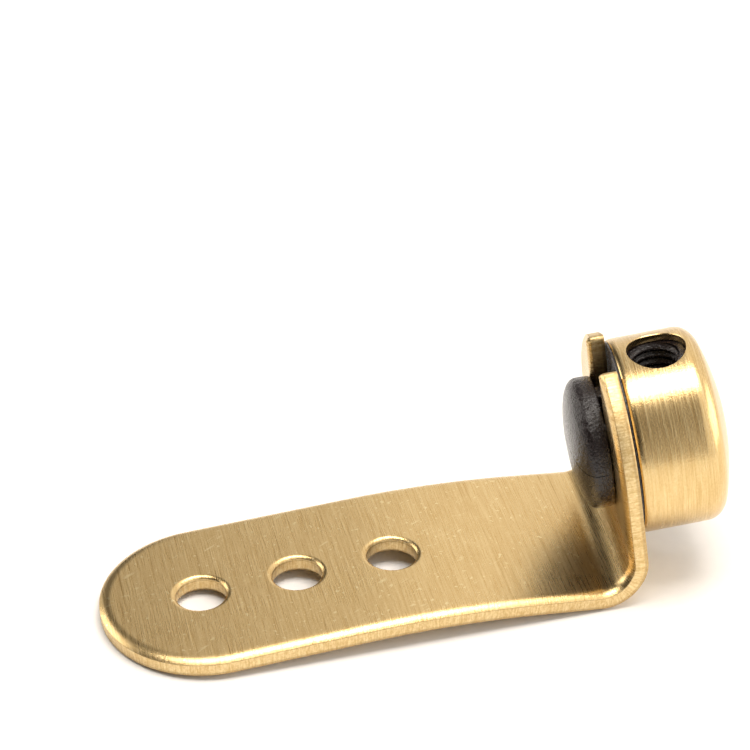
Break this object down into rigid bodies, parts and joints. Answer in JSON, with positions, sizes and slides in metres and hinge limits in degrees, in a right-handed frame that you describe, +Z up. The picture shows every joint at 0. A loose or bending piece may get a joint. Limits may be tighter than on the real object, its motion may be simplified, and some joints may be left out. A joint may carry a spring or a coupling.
{
  "type": "angle bracket with a swivel nut",
  "caption": "Brass angle bracket that screws down by its long foot and carries, in its slotted flange, a swivelling black nut under a brass cup for a threaded rod.",
  "frame": {"origin": "on the surface that the bracket stands on, under the middle of the whole object's box", "axes": "+X along the foot from its round tip to the flange, +Y across the foot, +Z up"},
  "size_m": [0.0748, 0.0254, 0.0279],
  "materials": {
    "plate_brass": "brushed across, edges rolled and bright",
    "cup_brass": "turned, fine marks round the axis",
    "black_plastic": "moulded, satin with a fine grain"
  },
  "bodies": {
    "bracket": {"bracket_plate": "plate_brass"},
    "rod_nut": {"swivel_nut": "black_plastic", "brass_cup": "cup_brass"}
  },
  "joints": [
    {"name": "nut_swivel", "type": "hinge", "parent": "bracket", "child": "rod_nut", "pos_m": [0.02365, 0.00023, 0.015], "axis": [0.9707, -0.1729, 0.1668], "range_deg": [-20, 20]}
  ]
}
